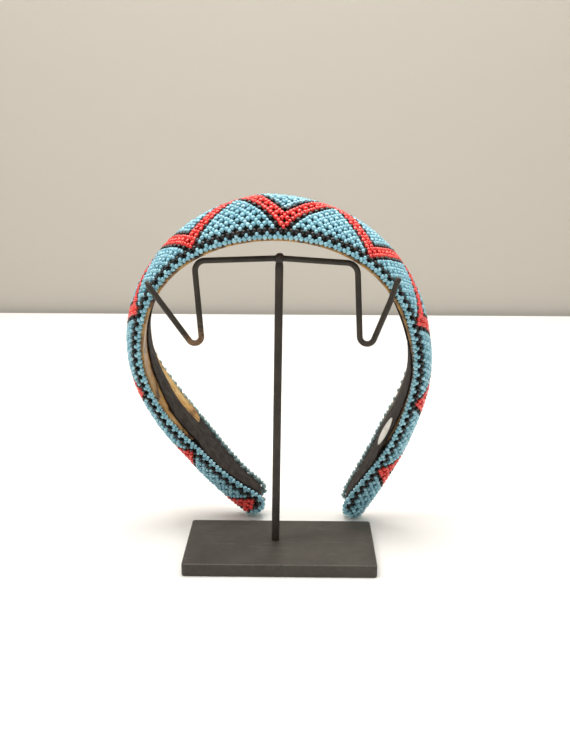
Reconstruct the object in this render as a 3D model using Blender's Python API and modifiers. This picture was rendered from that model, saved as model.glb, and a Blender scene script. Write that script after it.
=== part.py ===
"""Beaded headband leaning on its wire display stand.

The band is an arch of padded cloth under a netting of seed beads, with a plastic
hoop and a ribbon on its inner side.  It stands on its two tips behind a steel plate
and leans against the bent wire that a post carries.

Tables and named sizes are in millimetres and degrees, the scene is in metres.
X runs to the right, Y to the back, Z up.  The origin is the middle of the plate's
underside, in the plane of the table.
"""

import math

import bmesh
import bpy
import numpy as np
from mathutils import Matrix, Vector

MM = 0.001
GAP = 0.3

# Front rim of the band in its own plane: x and z from the left tip, over the crown,
# to the right tip.  The band has been bent open by hand, so the legs differ.
RIM_ROUTE = (
    (-5.5, 5.8), (-14.0, 15.0), (-35.5, 35.0), (-55.0, 57.0), (-68.0, 83.5), (-70.0, 113.0),
    (-58.5, 139.5), (-36.0, 158.5), (-7.5, 167.0), (21.5, 165.0), (48.0, 151.5), (65.0, 128.0),
    (71.0, 99.0), (66.5, 70.0), (56.0, 42.5), (40.0, 17.5), (32.4, 3.2),
)
# Sections of the band.  from_tip: distance along the rim, width: rim to rim,
# bulge: height of the beads' crest above the rim.
SECTION_COLUMNS = ("from_tip", "width", "bulge")
SECTION_ROWS = (
    (0.0, 12.0, 13.5),
    (4.0, 13.0, 13.8),
    (18.0, 16.0, 14.0),
    (34.0, 22.0, 13.0),
    (50.0, 27.5, 11.8),
    (65.0, 31.5, 10.8),
    (81.0, 35.0, 10.0),
    (97.0, 37.0, 9.0),
    (124.0, 38.0, 7.0),
    (159.0, 38.0, 6.8),
    (189.0, 38.5, 9.3),
    (222.0, 39.0, 12.4),
)
BAND_LEAN = 16.0
BAND_TURN = -3.0
BAND_AT = (-1.8, 46.5)

# The beads reach EDGE_DROP inward of the rims.  The core's flat side is at CORE_BOTTOM.
BEAD = 2.1
EDGE_DROP = 1.0
SECTION_POWER = 2.2
CORE_BOTTOM = -0.7

# Both tips close over these lengths, down to these shares of the width and height,
# and their inner side lifts away from the rims.
TIP_ROUND_WIDTH = 5.0
TIP_LEAST_WIDTH = 0.5
TIP_ROUND_HEIGHT = 4.0
TIP_LEAST_HEIGHT = 0.75
TIP_LIFT = 9.0
TIP_LIFT_REACH = 10.0

# Inner side, measured inward from the plane of the two rims
HOOP_THICK = 1.4
HOOP_INSET = 1.8
HOOP_LEFT_END = 58.0
HOOP_RIGHT_END = 50.0
RIBBON_THICK = 1.2
RIBBON_WIDTH = 13.0
RIBBON_TIP_INSET = 1.2
RIBBON_TIP_END = 9.5
RIBBON_RAMP = 7.0
LABEL_LONG = 17.0
LABEL_WIDE = 8.4
LABEL_THICK = 0.5
LABEL_FROM_TIP = 54.0

# Stand
PLATE = (95.0, 56.5, 6.5)
PLATE_EDGE = 0.8
POST_RADIUS = 2.0
POST_FOOT = (-2.5, 2.3)
POST_SINK = 4.0
POST_TOP = (1.5, 143.9)
FRAME_LEAN = 1.3
FRAME_TURN = -3.0
WIRE_RADIUS = 1.45
WELD_RADIUS = 2.6
# Bends of the wire in the frame's plane: x and z from the post's foot, radius of the
# bend, and how far the wire stands behind that plane.
WIRE_ROWS = (
    (-63.1, 132.8, 0.0, -2.0),
    (-61.6, 129.6, 6.0, -1.6),
    (-37.7, 95.6, 3.3, 0.0),
    (-39.9, 142.2, 5.0, 0.0),
    (1.5, 144.0, 60.0, 0.0),
    (39.1, 141.9, 5.5, 0.0),
    (41.6, 89.5, 3.6, 0.0),
    (55.6, 125.4, 40.0, -2.0),
    (58.8, 135.8, 0.0, -3.0),
)
BEND_STEP = 18.0

ROUND_COUNT = 16
PLAIN = {
    "bead_net": ((0.22, 0.53, 0.60), 0.30, 0.0),
    "padded_core": ((0.02, 0.02, 0.02), 0.90, 0.0),
    "hoop_lining": ((0.42, 0.24, 0.10), 0.35, 0.0),
    "inner_ribbon": ((0.04, 0.03, 0.03), 0.85, 0.0),
    "oval_label": ((0.80, 0.76, 0.68), 0.60, 0.0),
    "stand_base": ((0.06, 0.05, 0.045), 0.45, 0.6),
    "stand_frame": ((0.04, 0.035, 0.03), 0.45, 0.6),
}


def clear_scene():
    """Remove whatever the file holds."""
    for thing in list(bpy.data.objects):
        bpy.data.objects.remove(thing, do_unlink=True)


def collection(name):
    """A collection linked to the scene."""
    group = bpy.data.collections.new(name)
    bpy.context.scene.collection.children.link(group)
    return group


def plain_material(name):
    """A Principled material with the part's colour, roughness and metallic value."""
    colour, roughness, metallic = PLAIN[name]
    material = bpy.data.materials.new(name)
    material.use_nodes = True
    shader = material.node_tree.nodes["Principled BSDF"]
    shader.inputs["Base Color"].default_value = (*colour, 1.0)
    shader.inputs["Roughness"].default_value = roughness
    shader.inputs["Metallic"].default_value = metallic
    material.diffuse_color = (*colour, 1.0)
    return material


def natural_spline(knots, values, places):
    """Smooth curve through the values at the knots, read at the given places."""
    knots = np.asarray(knots, float)
    values = np.asarray(values, float)
    gaps = np.diff(knots)
    rises = np.diff(values) / gaps
    count = len(knots)
    system = np.eye(count)
    pull = np.zeros(count)
    for row in range(1, count - 1):
        system[row, row - 1:row + 2] = (gaps[row - 1], 2 * (gaps[row - 1] + gaps[row]), gaps[row])
        pull[row] = 6 * (rises[row] - rises[row - 1])
    bend = np.linalg.solve(system, pull)
    places = np.clip(places, knots[0], knots[-1])
    span = np.clip(np.searchsorted(knots, places) - 1, 0, count - 2)
    after = places - knots[span]
    before = knots[span + 1] - places
    gap = gaps[span]
    curve = (bend[span] * before ** 3 + bend[span + 1] * after ** 3) / (6 * gap)
    start = (values[span] / gap - bend[span] * gap / 6) * before
    finish = (values[span + 1] / gap - bend[span + 1] * gap / 6) * after
    return curve + start + finish


class Band:
    """The band's rim as a smooth route, with its sections and a place for any point."""

    def __init__(self):
        corners = np.array(RIM_ROUTE)
        chords = np.concatenate([[0], np.cumsum(np.hypot(*np.diff(corners, axis=0).T))])
        fine = np.linspace(0, chords[-1], 1200)
        self.x = natural_spline(chords, corners[:, 0], fine)
        self.z = natural_spline(chords, corners[:, 1], fine)
        steps = np.hypot(np.diff(self.x), np.diff(self.z))
        self.run = np.concatenate([[0], np.cumsum(steps)])
        self.length = self.run[-1]
        self.tangent_x = np.gradient(self.x, self.run)
        self.tangent_z = np.gradient(self.z, self.run)

    def section(self, along, column):
        """Width or bulge at a distance along the rim from the left tip."""
        table = np.array(SECTION_ROWS)
        from_tip = np.minimum(along, self.length - along)
        place = SECTION_COLUMNS.index(column)
        return natural_spline(table[:, 0], table[:, place], from_tip)

    def point(self, along, across, outward):
        """Point at a distance along the rim, across the band and out from its rims."""
        x = np.interp(along, self.run, self.x)
        z = np.interp(along, self.run, self.z)
        tangent_x = np.interp(along, self.run, self.tangent_x)
        tangent_z = np.interp(along, self.run, self.tangent_z)
        return Vector((x - tangent_z * outward, across, z + tangent_x * outward)) * MM


def tip_factor(distance, reach):
    """Quarter ellipse that closes a shape towards a tip: 0 at the tip, 1 past the reach."""
    left = min(max(distance / reach, 0.0), 1.0)
    return math.sqrt(1.0 - (1.0 - left) ** 2)


def stations(band, first, last, ends=(0.0, 0.7, 1.8, 3.5, 6.0, 9.5)):
    """Distances along the band: one grid for all pieces, with close steps at both ends."""
    grid = np.linspace(0.0, band.length, 62)
    near = [first + step for step in ends]
    far = [last - step for step in reversed(ends)]
    return near + [place for place in grid if near[-1] + 2.0 < place < far[0] - 2.0] + far


def dome_ring(band, along, inset, floor, tip_start, through=False):
    """Section of the padded band: a flat inner side under a domed outer side.

    inset shrinks the section evenly, floor is the height of its flat side, and tip_start
    is how far from the end of the rim the shape closes.  The flat side lifts towards the
    tips, except in a section that is to cut through it.
    """
    width = float(band.section(along, "width"))
    bulge = float(band.section(along, "bulge"))
    distance = min(along, band.length - along) - tip_start
    spread = TIP_LEAST_WIDTH + (1 - TIP_LEAST_WIDTH) * tip_factor(distance, TIP_ROUND_WIDTH)
    swell = TIP_LEAST_HEIGHT + (1 - TIP_LEAST_HEIGHT) * tip_factor(distance, TIP_ROUND_HEIGHT)
    half = (width / 2 + EDGE_DROP) * spread - inset
    top = (bulge + EDGE_DROP) * swell - inset - EDGE_DROP
    if not through:
        lift = TIP_LIFT * (1 - tip_factor(distance, TIP_LIFT_REACH))
        raised = min(floor + lift, top * 0.6)
        share = max(raised - floor, 0.0) / (top - floor)
        half *= (1 - share ** SECTION_POWER) ** (1 / SECTION_POWER)
        floor = raised
    ring = []
    for step in range(ROUND_COUNT + 1):
        angle = math.pi * step / ROUND_COUNT
        side = -math.cos(angle)
        across = math.copysign(abs(side) ** (2 / SECTION_POWER), side) * half
        rise = math.sin(angle) ** (2 / SECTION_POWER)
        ring.append(band.point(along, width / 2 + across, floor + rise * (top - floor)))
    if through:
        ring.insert(0, band.point(along, width / 2 - half, floor - BEAD))
        ring.append(band.point(along, width / 2 + half, floor - BEAD))
    return ring


def strip_ring(band, along, half, outer, inner):
    """Flat strip across the middle of the band, between two distances from its rims."""
    middle = float(band.section(along, "width")) / 2
    edge = min(0.3, half * 0.3)
    inset = min(1.0, half * 0.5)
    profile = (
        (-half, outer), (0.0, outer), (half, outer), (half, inner + edge),
        (half - inset, inner), (0.0, inner), (-half + inset, inner), (-half, inner + edge),
    )
    return [band.point(along, middle + across, outward) for across, outward in profile]


def loft(name, rings, group):
    """Closed body through a row of rings with the same number of points."""
    mesh = bpy.data.meshes.new(name)
    work = bmesh.new()
    rows = [[work.verts.new(point) for point in ring] for ring in rings]
    for row, following in zip(rows[:-1], rows[1:]):
        for place in range(len(row)):
            turn = (place + 1) % len(row)
            work.faces.new((row[place], row[turn], following[turn], following[place]))
    work.faces.new(rows[0])
    work.faces.new(rows[-1])
    bmesh.ops.recalc_face_normals(work, faces=work.faces)
    bmesh.ops.triangulate(work, faces=[face for face in work.faces if len(face.verts) > 4])
    work.to_mesh(mesh)
    work.free()
    mesh.shade_smooth()
    mesh.set_sharp_from_angle(angle=math.radians(50))
    thing = bpy.data.objects.new(name, mesh)
    group.objects.link(thing)
    return thing


def finish(thing, name):
    """Name a body and give it its material."""
    thing.name = name
    thing.data.name = name
    thing.data.materials.clear()
    thing.data.materials.append(plain_material(name))
    return thing


def boolean(thing, other, operation):
    """Cut or join a body with another one, exactly."""
    modifier = thing.modifiers.new(f"{operation.lower()}_{other.name}", "BOOLEAN")
    modifier.object = other
    modifier.operation = operation
    modifier.solver = "EXACT"


def hide_helper(thing):
    """Leave a cutter or an added piece out of the model."""
    thing.hide_render = True
    thing.display_type = "WIRE"


def padded_core(band, group):
    """Stuffed cloth body of the band, flat on its inner side."""
    inset = BEAD + GAP
    end = inset + GAP
    rings = [dome_ring(band, along, inset, CORE_BOTTOM, end)
             for along in stations(band, end, band.length - end, (0.0, 1.2, 2.9, 5.4, 8.9))]
    return finish(loft("padded_core", rings, group), "padded_core")


def bead_net(band, group, helpers):
    """Skin of seed beads: the band's outer form less the room for the core."""
    rings = [dome_ring(band, along, 0.0, -EDGE_DROP, 0.0)
             for along in stations(band, 0.0, band.length)]
    skin = loft("bead_net", rings, group)
    room = [dome_ring(band, along, BEAD, -EDGE_DROP, BEAD, through=True)
            for along in stations(band, BEAD, band.length - BEAD)]
    cutter = loft("room_for_core", room, helpers)
    hide_helper(cutter)
    boolean(skin, cutter, "DIFFERENCE")
    return finish(skin, "bead_net")


def hoop_lining(band, group):
    """Springy plastic hoop against the core's inner side."""
    outer = -EDGE_DROP - GAP
    inner = outer - HOOP_THICK
    rings = []
    for along in stations(band, HOOP_LEFT_END, band.length - HOOP_RIGHT_END, (0.0, 3.0)):
        half = float(band.section(along, "width")) / 2 - HOOP_INSET
        rings.append(strip_ring(band, along, half, outer, inner))
    return finish(loft("hoop_lining", rings, group), "hoop_lining")


def ribbon_surface(band, along):
    """Half width and outer face of the ribbon: narrow on the hoop, full at the tips."""
    left = (along - (HOOP_LEFT_END - GAP * 2)) / RIBBON_RAMP
    right = (band.length - HOOP_RIGHT_END + GAP * 2 - along) / RIBBON_RAMP
    on_hoop = max(0.0, min(left + 1.0, right + 1.0, 1.0))
    narrow = max(0.0, min(left * 2.0, right * 2.0, 1.0))
    ease = narrow * narrow * (3 - 2 * narrow)
    distance = min(along, band.length - along) - RIBBON_TIP_END
    full = float(band.section(along, "width")) / 2 - RIBBON_TIP_INSET
    full *= TIP_LEAST_WIDTH + (1 - TIP_LEAST_WIDTH) * tip_factor(distance, TIP_ROUND_WIDTH)
    half = full + (RIBBON_WIDTH / 2 - full) * ease
    outer = -EDGE_DROP - GAP - (HOOP_THICK + GAP) * on_hoop
    return half, outer


def inner_ribbon(band, group):
    """Ribbon along the hoop that spreads into the cloth facing of both tips."""
    first = RIBBON_TIP_END
    last = band.length - RIBBON_TIP_END
    places = set(stations(band, first, last))
    for end in (HOOP_LEFT_END, band.length - HOOP_RIGHT_END):
        places |= {end + step for step in (-7.6, -5.0, -2.5, -0.6, 0.6, 1.8, 3.0, 5.0)}
    rings = []
    for along in sorted(places):
        half, outer = ribbon_surface(band, along)
        rings.append(strip_ring(band, along, half, outer, outer - RIBBON_THICK))
    return finish(loft("inner_ribbon", rings, group), "inner_ribbon")


def oval_label(band, group):
    """Blank oval label on the ribbon of the right leg, bent to follow it."""
    middle = band.length - LABEL_FROM_TIP
    _, outer = ribbon_surface(band, middle)
    top = outer - RIBBON_THICK - GAP
    mesh = bpy.data.meshes.new("oval_label")
    work = bmesh.new()
    bmesh.ops.create_cone(work, cap_ends=True, segments=32, radius1=0.5, radius2=0.5, depth=1.0)
    for vert in work.verts:
        along = middle + vert.co.x * LABEL_LONG
        centre = float(band.section(along, "width")) / 2
        across = centre + vert.co.y * LABEL_WIDE
        outward = top - (0.5 - vert.co.z) * LABEL_THICK
        vert.co = band.point(along, across, outward)
    work.to_mesh(mesh)
    work.free()
    label = bpy.data.objects.new("oval_label", mesh)
    group.objects.link(label)
    return finish(label, "oval_label")


def stand_band_up(pieces):
    """Lean and turn the band, then lower it until its tips touch the table."""
    turn = Matrix.Rotation(math.radians(BAND_TURN), 4, "Z")
    lean = Matrix.Rotation(math.radians(BAND_LEAN), 4, "X")
    turned = turn @ lean
    lowest = min((turned @ vert.co).z for vert in pieces[0].data.vertices)
    place = Matrix.Translation((BAND_AT[0] * MM, BAND_AT[1] * MM, -lowest))
    for piece in pieces:
        piece.matrix_world = place @ turned


def rounded_route(rows):
    """Points of a bent wire: straight runs joined by arcs of each row's radius."""
    corners = [Vector((row[0], row[3], row[1])) for row in rows]
    route = [corners[0]]
    for place in range(1, len(rows) - 1):
        corner = corners[place]
        towards_last = (corners[place - 1] - corner).normalized()
        towards_next = (corners[place + 1] - corner).normalized()
        opening = towards_last.angle(towards_next)
        radius = rows[place][2]
        reach = radius / math.tan(opening / 2)
        middle = corner + (towards_last + towards_next).normalized() * radius / math.sin(opening / 2)
        start = corner + towards_last * reach - middle
        sweep = math.pi - opening
        axis = start.cross(corner + towards_next * reach - middle).normalized()
        count = max(2, math.ceil(math.degrees(sweep) / BEND_STEP))
        for step in range(count + 1):
            arc = Matrix.Rotation(sweep * step / count, 3, axis) @ start
            route.append(middle + arc)
    route.append(corners[-1])
    return route


def tube(name, route, radius, sides, group):
    """Round bar along a route, as a closed mesh."""
    curve = bpy.data.curves.new(name, "CURVE")
    curve.dimensions = "3D"
    curve.bevel_depth = radius * MM
    curve.bevel_resolution = sides // 2 - 2
    curve.use_fill_caps = True
    line = curve.splines.new("POLY")
    line.points.add(len(route) - 1)
    for knot, point in zip(line.points, route):
        knot.co = (*(Vector(point) * MM), 1.0)
    drawn = bpy.data.objects.new(name, curve)
    group.objects.link(drawn)
    evaluated = drawn.evaluated_get(bpy.context.evaluated_depsgraph_get())
    mesh = bpy.data.meshes.new_from_object(evaluated)
    bpy.data.objects.remove(drawn, do_unlink=True)
    work = bmesh.new()
    work.from_mesh(mesh)
    bmesh.ops.remove_doubles(work, verts=work.verts, dist=0.00001)
    bmesh.ops.recalc_face_normals(work, faces=work.faces)
    work.to_mesh(mesh)
    work.free()
    mesh.shade_smooth()
    mesh.set_sharp_from_angle(angle=math.radians(50))
    thing = bpy.data.objects.new(name, mesh)
    group.objects.link(thing)
    return thing


def frame_place():
    """Where the post stands, with the lean and turn of the wire frame."""
    foot = Matrix.Translation((POST_FOOT[0] * MM, POST_FOOT[1] * MM, PLATE[2] * MM))
    turn = Matrix.Rotation(math.radians(FRAME_TURN), 4, "Z")
    lean = Matrix.Rotation(math.radians(-FRAME_LEAN), 4, "X")
    return foot @ turn @ lean


def post_route(radius_margin=0.0):
    """Straight line of the post, from inside the plate to the wire."""
    rise = POST_TOP[0] / POST_TOP[1]
    low = -POST_SINK - radius_margin
    return ((rise * low, 0.0, low), (POST_TOP[0], 0.0, POST_TOP[1]))


def stand_frame(group, helpers):
    """Post, cross wire and both hooks, welded into one piece."""
    post = tube("stand_frame", post_route(), POST_RADIUS, 16, group)
    wire = tube("bent_wire", rounded_route(WIRE_ROWS), WIRE_RADIUS, 12, helpers)
    weld_mesh = bpy.data.meshes.new("weld")
    work = bmesh.new()
    bmesh.ops.create_uvsphere(work, u_segments=12, v_segments=8, radius=WELD_RADIUS * MM)
    work.to_mesh(weld_mesh)
    work.free()
    weld = bpy.data.objects.new("weld", weld_mesh)
    helpers.objects.link(weld)
    weld.matrix_world = frame_place() @ Matrix.Translation(Vector((POST_TOP[0], 0, POST_TOP[1])) * MM)
    for piece in (post, wire):
        piece.matrix_world = frame_place()
    for helper in (wire, weld):
        hide_helper(helper)
        boolean(post, helper, "UNION")
    return finish(post, "stand_frame")


def stand_base(group, helpers):
    """Steel plate with eased edges and the blind hole that takes the post."""
    mesh = bpy.data.meshes.new("stand_base")
    work = bmesh.new()
    bmesh.ops.create_cube(work, size=1.0)
    for vert in work.verts:
        vert.co = Vector((vert.co.x * PLATE[0], vert.co.y * PLATE[1], (vert.co.z + 0.5) * PLATE[2])) * MM
    work.to_mesh(mesh)
    work.free()
    plate = bpy.data.objects.new("stand_base", mesh)
    group.objects.link(plate)
    edges = plate.modifiers.new("eased_edges", "BEVEL")
    edges.width = PLATE_EDGE * MM
    edges.segments = 2
    edges.limit_method = "ANGLE"
    low, high = post_route(GAP)
    hole = tube("post_hole", (low, high), POST_RADIUS + GAP, 16, helpers)
    hole.matrix_world = frame_place()
    hide_helper(hole)
    boolean(plate, hole, "DIFFERENCE")
    return finish(plate, "stand_base")


def main():
    clear_scene()
    group = collection("beaded_headband_on_stand")
    helpers = collection("cutters")
    band = Band()
    skin = bead_net(band, group, helpers)
    pieces = [skin, bpy.data.objects["room_for_core"], padded_core(band, group),
              hoop_lining(band, group), inner_ribbon(band, group), oval_label(band, group)]
    stand_band_up(pieces)
    stand_base(group, helpers)
    stand_frame(group, helpers)


main()
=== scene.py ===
# %% [markdown]
# # A beaded headband on its wire stand
#
# The headband is an arch of padding in black cloth, wrapped in a net of seed beads.
# Inside it has a springy horn-coloured hoop with a ribbon sewn along its middle.
# It stands on its two tips behind a small steel plate, and its crown leans over a bent
# wire.  The solids come in first as a fixed frame.  Everything below dresses them:
# the script never moves or resizes what the frame holds.

# %% Load the frame
import math

import bpy
import numpy as np
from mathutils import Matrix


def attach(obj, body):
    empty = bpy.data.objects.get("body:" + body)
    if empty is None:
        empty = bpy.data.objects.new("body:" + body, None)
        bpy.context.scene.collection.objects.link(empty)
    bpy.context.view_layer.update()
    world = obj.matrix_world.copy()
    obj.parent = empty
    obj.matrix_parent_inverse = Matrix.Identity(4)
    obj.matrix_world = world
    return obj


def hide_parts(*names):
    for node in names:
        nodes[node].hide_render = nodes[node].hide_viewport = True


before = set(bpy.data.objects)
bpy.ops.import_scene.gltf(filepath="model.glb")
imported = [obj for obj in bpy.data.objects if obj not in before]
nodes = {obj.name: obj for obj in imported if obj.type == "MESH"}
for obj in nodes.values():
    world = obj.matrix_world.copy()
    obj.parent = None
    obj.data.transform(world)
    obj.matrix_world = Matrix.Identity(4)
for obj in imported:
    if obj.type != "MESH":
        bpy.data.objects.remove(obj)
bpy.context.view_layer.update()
MM = 0.001
rng = np.random.default_rng(1911)
print("solids:", sorted(nodes))


# %% [markdown]
# ## Camera and room
#
# The camera comes first, because it fixes what has to be fine and what may be plain.
# It stands half a metre in front of the band, a little above the crown, and looks down
# by 14 degrees.  The room is a pale table that ends in front of a grey wall, with one
# large soft lamp over the left shoulder, a weaker one on the right, and light from all
# round, so that the glass beads get broad highlights and the shadows stay soft.

# %% Camera
EYE = (0.0083, -0.4853, 0.2164)
LOOK_DOWN = 13.8
LOOK_LEFT = 0.78
ROLL = -0.2


def add_camera():
    """A 50 mm camera on a 36 mm film, placed by its eye point and three angles."""
    lens = bpy.data.cameras.new("photo_camera")
    lens.sensor_width = 36.0
    lens.lens = 50.0
    lens.clip_start = 0.01
    eye = bpy.data.objects.new("photo_camera", lens)
    eye.location = EYE
    eye.rotation_euler = (math.radians(90 - LOOK_DOWN), math.radians(ROLL), math.radians(LOOK_LEFT))
    bpy.context.scene.collection.objects.link(eye)
    bpy.context.scene.camera = eye
    return eye


camera = add_camera()
bpy.context.scene.view_settings.view_transform = "Standard"
print("camera at", [round(value, 3) for value in camera.location])


# %% Helpers for meshes
def looks_inward(mesh, points):
    """True where the tetrahedra from the origin to a closed mesh's triangles sum below zero."""
    mesh.calc_loop_triangles()
    corners = np.empty(len(mesh.loop_triangles) * 3, np.int32)
    mesh.loop_triangles.foreach_get("vertices", corners)
    first, second, third = np.moveaxis(points[corners.reshape(-1, 3)], 1, 0)
    return np.sum(first * np.cross(second, third)) < 0


def mesh_object(name, points, faces, material, closed=True):
    """An object at the origin from points in metres and faces; a closed one looks outward."""
    points = np.asarray(points, float).reshape(-1, 3)
    mesh = bpy.data.meshes.new(name)
    mesh.from_pydata(points.tolist(), [], faces)
    mesh.update()
    if closed and looks_inward(mesh, points):
        mesh.flip_normals()
    if closed:
        mesh.shade_smooth()
    mesh.materials.append(material)
    thing = bpy.data.objects.new(name, mesh)
    bpy.context.scene.collection.objects.link(thing)
    return thing


def grid_faces(rows, columns, wrap_rows=False, wrap_columns=False):
    """Four-sided faces of a grid whose points are stored row by row."""
    row = np.arange(rows if wrap_rows else rows - 1)
    column = np.arange(columns if wrap_columns else columns - 1)
    here, there = np.meshgrid(row, column, indexing="ij")
    below = (here + 1) % rows
    right = (there + 1) % columns
    corners = (here * columns + there, below * columns + there,
               below * columns + right, here * columns + right)
    return np.stack(corners, axis=-1).reshape(-1, 4).tolist()


def store(thing, name, values):
    """Keep one number per point on a mesh, for its material to read."""
    spot = thing.data.attributes.new(name, "FLOAT", "POINT")
    spot.data.foreach_set("value", np.asarray(values, np.float32))


def closed_tube(name, rings, material, **kept):
    """Skin a stack of rings, close both ends with a small fan, and store values on it.

    Each value is one number, a column with one per ring, or a grid with one per point.
    """
    rows, columns = rings.shape[:2]
    faces = grid_faces(rows, columns, wrap_columns=True)
    edge = np.arange(columns)
    far = (rows - 1) * columns
    hub = rows * columns
    first = np.stack([np.full(columns, hub), edge, (edge + 1) % columns], axis=1)
    last = np.stack([np.full(columns, hub + 1), far + (edge + 1) % columns, far + edge], axis=1)
    points = np.concatenate([rings.reshape(-1, 3), rings[:1].mean(1), rings[-1:].mean(1)])
    thing = mesh_object(name, points, faces + first.tolist() + last.tolist(), material)
    for key, values in kept.items():
        grid = np.broadcast_to(values, (rows, columns))
        store(thing, key, np.concatenate([grid.reshape(-1), grid[[0, -1]].mean(1)]))
    return thing


# %% Helpers for materials
def material_nodes(name, colour, roughness, **settings):
    """A Principled material, its tree and its shader; settings are other shader inputs."""
    material = bpy.data.materials.new(name)
    material.use_nodes = True
    tree = material.node_tree
    shader = tree.nodes["Principled BSDF"]
    shader.inputs["Base Color"].default_value = (*colour, 1.0)
    shader.inputs["Roughness"].default_value = roughness
    for key, value in settings.items():
        shader.inputs[key.replace("_", " ")].default_value = value
    return material, tree, shader


def add_node(tree, kind, settings=None, **inputs):
    """Add one node, set its properties, and fill or link its inputs by name."""
    node = tree.nodes.new(kind)
    for key, value in (settings or {}).items():
        setattr(node, key, value)
    for key, value in inputs.items():
        socket = node.inputs[int(key[1:])] if key[0] == "i" and key[1:].isdigit() else node.inputs[key]
        if isinstance(value, bpy.types.NodeSocket):
            tree.links.new(value, socket)
        else:
            socket.default_value = value
    return node


def colour_ramp(tree, factor, stops):
    """A colour ramp: stops are (position, linear red, green, blue)."""
    ramp = tree.nodes.new("ShaderNodeValToRGB")
    while len(ramp.color_ramp.elements) < len(stops):
        ramp.color_ramp.elements.new(0.5)
    for element, (place, red, green, blue) in zip(ramp.color_ramp.elements, stops):
        element.position = place
        element.color = (red, green, blue, 1.0)
    tree.links.new(factor, ramp.inputs["Fac"])
    return ramp.outputs["Color"]


def noise(tree, place, scale, detail, **more):
    """Noise texture read at a place."""
    node = add_node(tree, "ShaderNodeTexNoise", Vector=place, Scale=scale, Detail=detail, **more)
    return node.outputs["Fac"]


def maths(tree, operation, *values):
    """One step of arithmetic on sockets or numbers."""
    inputs = {f"i{place}": value for place, value in enumerate(values)}
    return add_node(tree, "ShaderNodeMath", {"operation": operation}, **inputs).outputs[0]


def attribute(tree, name):
    """A value stored on the mesh's points."""
    return add_node(tree, "ShaderNodeAttribute", {"attribute_name": name}).outputs["Fac"]


def object_place(tree):
    """Object coordinates in metres."""
    return add_node(tree, "ShaderNodeTexCoord").outputs["Object"]


def mix(tree, factor, first, second, how="MIX"):
    """Colour between two others, each a socket or four numbers."""
    settings = {"data_type": "RGBA", "blend_type": how}
    return add_node(tree, "ShaderNodeMix", settings, Factor=factor, i6=first, i7=second).outputs[2]


def map_range(tree, value, first, last, start=0.0, finish=1.0):
    """Straight line from start where the value is first to finish where it is last."""
    node = add_node(tree, "ShaderNodeMapRange", Value=value)
    for key, number in (("From Min", first), ("From Max", last), ("To Min", start), ("To Max", finish)):
        node.inputs[key].default_value = number
    return node.outputs["Result"]


def paint(tree, shader, colour, height, strength, distance):
    """Give a shader its colour and a small relief, in metres at full strength."""
    tree.links.new(colour, shader.inputs["Base Color"])
    node = add_node(tree, "ShaderNodeBump", Strength=strength, Distance=distance, Height=height)
    tree.links.new(node.outputs["Normal"], shader.inputs["Normal"])


print("helpers ready")


# %% Table, wall and lamps
LAMP_AIM = np.array((0, 0.02, 0.08))
TABLE_END, WALL_Y = 0.65, 0.66


def flat_sheet(name, corners, material):
    """One four-sided sheet."""
    return mesh_object(name, corners, [(0, 1, 2, 3)], material, closed=False)


def add_lamp(name, place, width, power, colour):
    """A square area lamp that looks at the middle of the stand."""
    lamp = bpy.data.lights.new(name, "AREA")
    lamp.size = width
    lamp.energy = power
    lamp.color = colour
    thing = bpy.data.objects.new(name, lamp)
    away = np.array(place) - LAMP_AIM
    thing.location = place
    flat = math.hypot(away[0], away[1])
    thing.rotation_euler = (math.atan2(flat, away[2]), 0.0, math.atan2(away[0], -away[1]))
    bpy.context.scene.collection.objects.link(thing)


def add_room():
    """A pale table, a grey wall behind it, light from all round and three lamps."""
    table_paint, tree, shader = material_nodes("pale_table", (0.86, 0.85, 0.82), 0.55)
    tree.links.new(colour_ramp(tree, noise(tree, object_place(tree), 9.0, 4.0), [
        (0.35, 0.84, 0.83, 0.80), (0.65, 0.88, 0.87, 0.845)]), shader.inputs["Base Color"])
    wall_paint = material_nodes("grey_wall", (0.478, 0.444, 0.391), 0.9)[0]
    far, back = TABLE_END, WALL_Y
    table = flat_sheet("table_top", [(-3, -3, 0), (3, -3, 0), (3, far, 0), (-3, far, 0)], table_paint)
    wall = flat_sheet("wall", [(-3, back, -1), (3, back, -1), (3, back, 3), (-3, back, 3)], wall_paint)
    world = bpy.data.worlds.new("room_light")
    world.use_nodes = True
    world.node_tree.nodes["Background"].inputs["Color"].default_value = (1.0, 0.985, 0.96, 1.0)
    world.node_tree.nodes["Background"].inputs["Strength"].default_value = 0.34
    bpy.context.scene.world = world
    add_lamp("key_lamp", (-0.5, -0.12, 1.05), 0.6, 6.5, (1.0, 0.975, 0.94))
    add_lamp("fill_lamp", (0.75, -0.05, 0.9), 0.7, 2.6, (1.0, 0.985, 0.96))
    add_lamp("top_lamp", (0.05, 0.2, 1.15), 0.9, 14.0, (1.0, 0.985, 0.96))


add_room()


# %% [markdown]
# ## The band as a curved surface
#
# Every piece of the band is placed by three numbers: how far along the front rim, how
# far across towards the back, and how far out from the two rims.  The rim is a smooth
# spline through a few points, and a short table says how wide and how high the padding
# is at each distance from a tip.  These are the solids' own sizes.  A second table says
# how the sewn band sits off that even form, by up to 4 mm.

# %% The rim and its sections
RIM_ROUTE = (
    (-5.5, 5.8), (-14, 15), (-35.5, 35), (-55, 57), (-68, 83.5), (-70, 113),
    (-58.5, 139.5), (-36, 158.5), (-7.5, 167), (21.5, 165), (48, 151.5), (65, 128),
    (71, 99), (66.5, 70), (56, 42.5), (40, 17.5), (32.4, 3.2),
)
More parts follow.
